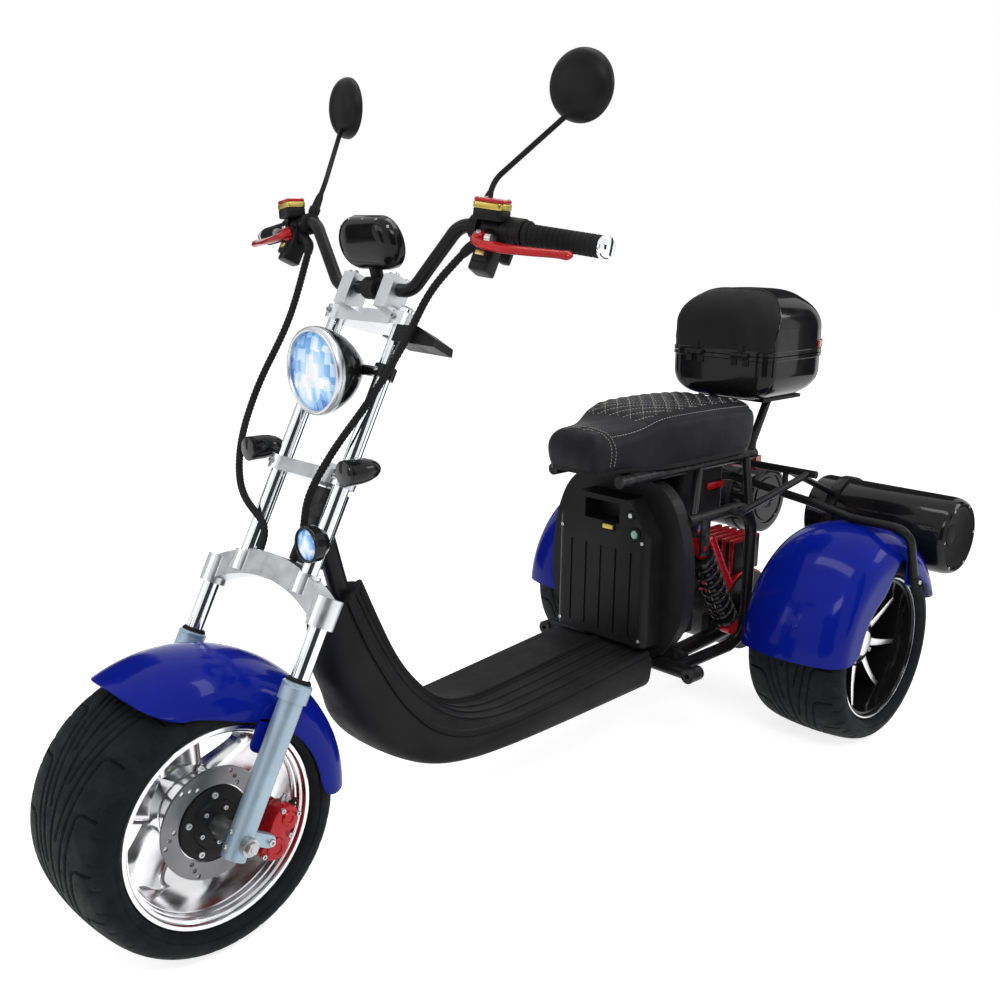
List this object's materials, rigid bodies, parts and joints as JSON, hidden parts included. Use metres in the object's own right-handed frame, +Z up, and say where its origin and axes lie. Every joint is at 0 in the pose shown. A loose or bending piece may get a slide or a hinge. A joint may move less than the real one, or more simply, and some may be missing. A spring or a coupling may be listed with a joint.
{
  "type": "electric tricycle",
  "caption": "Electric cruiser tricycle with a raked steering fork, step-through floor, padded saddle, rear top box with a lifting lid and wide road tyres.",
  "frame": {"origin": "on the ground below the middle of the whole part, midway between the front tyre and the loudspeakers at the rear", "axes": "+X forward, +Y to the rider's left, +Z up"},
  "size_m": [2.1289, 0.948, 1.4044],
  "materials": {
    "main_frame": "satin black",
    "floor_cover": "matte black",
    "battery_surround": "gloss black",
    "battery_case": "matte black",
    "underseat_box": "matte black",
    "seat_pan": "matte black",
    "seat_cushion": "grained black",
    "rear_rack": "gloss black",
    "box_bracket": "satin black",
    "top_box_base": "gloss black",
    "rear_axle": "satin black",
    "shock_dampers": "gloss red",
    "shock_springs": "gloss black",
    "rear_fender_left": "gloss blue",
    "rear_fender_right": "gloss blue",
    "tube_speakers": "gloss black",
    "tail_lamp": "clear red",
    "steering_stem": "plain",
    "fork_bridge": "satin",
    "fork_sliders": "satin",
    "fork_tubes": "polished",
    "fork_clamps": "satin",
    "front_axle": "plain",
    "front_fender": "gloss blue",
    "brake_caliper": "gloss red",
    "headlamp_shell": "gloss black",
    "headlamp_rim": "polished",
    "headlamp_lens": "clear",
    "fog_lamp": "gloss black",
    "turn_signals": "smoked",
    "horn_box": "satin black",
    "display_pod": "gloss black",
    "handlebar": "gloss black",
    "grips": "ribbed",
    "brake_levers": "anodised red",
    "bar_controls": "matte black",
    "mirrors": "gloss black",
    "mirror_glasses": "mirror",
    "cable_looms": "matte black",
    "front_tyre": "black",
    "front_rim": "polished",
    "front_disc": "ground",
    "rear_tyre_left": "black",
    "rear_rim_left": "gloss black",
    "rear_tyre_right": "black",
    "rear_rim_right": "gloss black",
    "top_box_lid": "gloss black",
    "lid_reflector": "clear red"
  },
  "bodies": {
    "frame": {"main_frame": "main_frame", "floor_cover": "floor_cover", "battery_surround": "battery_surround", "battery_case": "battery_case", "underseat_box": "underseat_box", "seat_pan": "seat_pan", "seat_cushion": "seat_cushion", "rear_rack": "rear_rack", "box_bracket": "box_bracket", "top_box_base": "top_box_base", "rear_axle": "rear_axle", "shock_dampers": "shock_dampers", "shock_springs": "shock_springs", "rear_fender_left": "rear_fender_left", "rear_fender_right": "rear_fender_right", "tube_speakers": "tube_speakers", "tail_lamp": "tail_lamp"},
    "steering": {"steering_stem": "steering_stem", "fork_bridge": "fork_bridge", "fork_sliders": "fork_sliders", "fork_tubes": "fork_tubes", "fork_clamps": "fork_clamps", "front_axle": "front_axle", "front_fender": "front_fender", "brake_caliper": "brake_caliper", "headlamp_shell": "headlamp_shell", "headlamp_rim": "headlamp_rim", "headlamp_lens": "headlamp_lens", "fog_lamp": "fog_lamp", "turn_signals": "turn_signals", "horn_box": "horn_box", "display_pod": "display_pod", "handlebar": "handlebar", "grips": "grips", "brake_levers": "brake_levers", "bar_controls": "bar_controls", "mirrors": "mirrors", "mirror_glasses": "mirror_glasses", "cable_looms": "cable_looms"},
    "front_wheel": {"front_tyre": "front_tyre", "front_rim": "front_rim", "front_disc": "front_disc"},
    "rear_wheel_left": {"rear_tyre_left": "rear_tyre_left", "rear_rim_left": "rear_rim_left"},
    "rear_wheel_right": {"rear_tyre_right": "rear_tyre_right", "rear_rim_right": "rear_rim_right"},
    "box_lid": {"top_box_lid": "top_box_lid", "lid_reflector": "lid_reflector"}
  },
  "joints": [
    {"name": "steer", "type": "hinge", "parent": "frame", "child": "steering", "pos_m": [0.79, 0, 0.19803], "axis": [-0.454, 0, 0.891], "range_deg": [-35, 35]},
    {"name": "front_wheel_spin", "type": "hinge", "parent": "steering", "child": "front_wheel", "pos_m": [0.839, 0, 0.223], "axis": [0, 1, 0], "continuous": true},
    {"name": "rear_left_spin", "type": "hinge", "parent": "frame", "child": "rear_wheel_left", "pos_m": [-0.656, 0.325, 0.223], "axis": [0, 1, 0], "continuous": true},
    {"name": "rear_right_spin", "type": "hinge", "parent": "frame", "child": "rear_wheel_right", "pos_m": [-0.656, -0.325, 0.223], "axis": [0, 1, 0], "continuous": true},
    {"name": "lid_hinge", "type": "hinge", "parent": "frame", "child": "box_lid", "pos_m": [-0.5677, 0, 0.854], "axis": [0, 1, 0], "range_deg": [0, 85]}
  ]
}
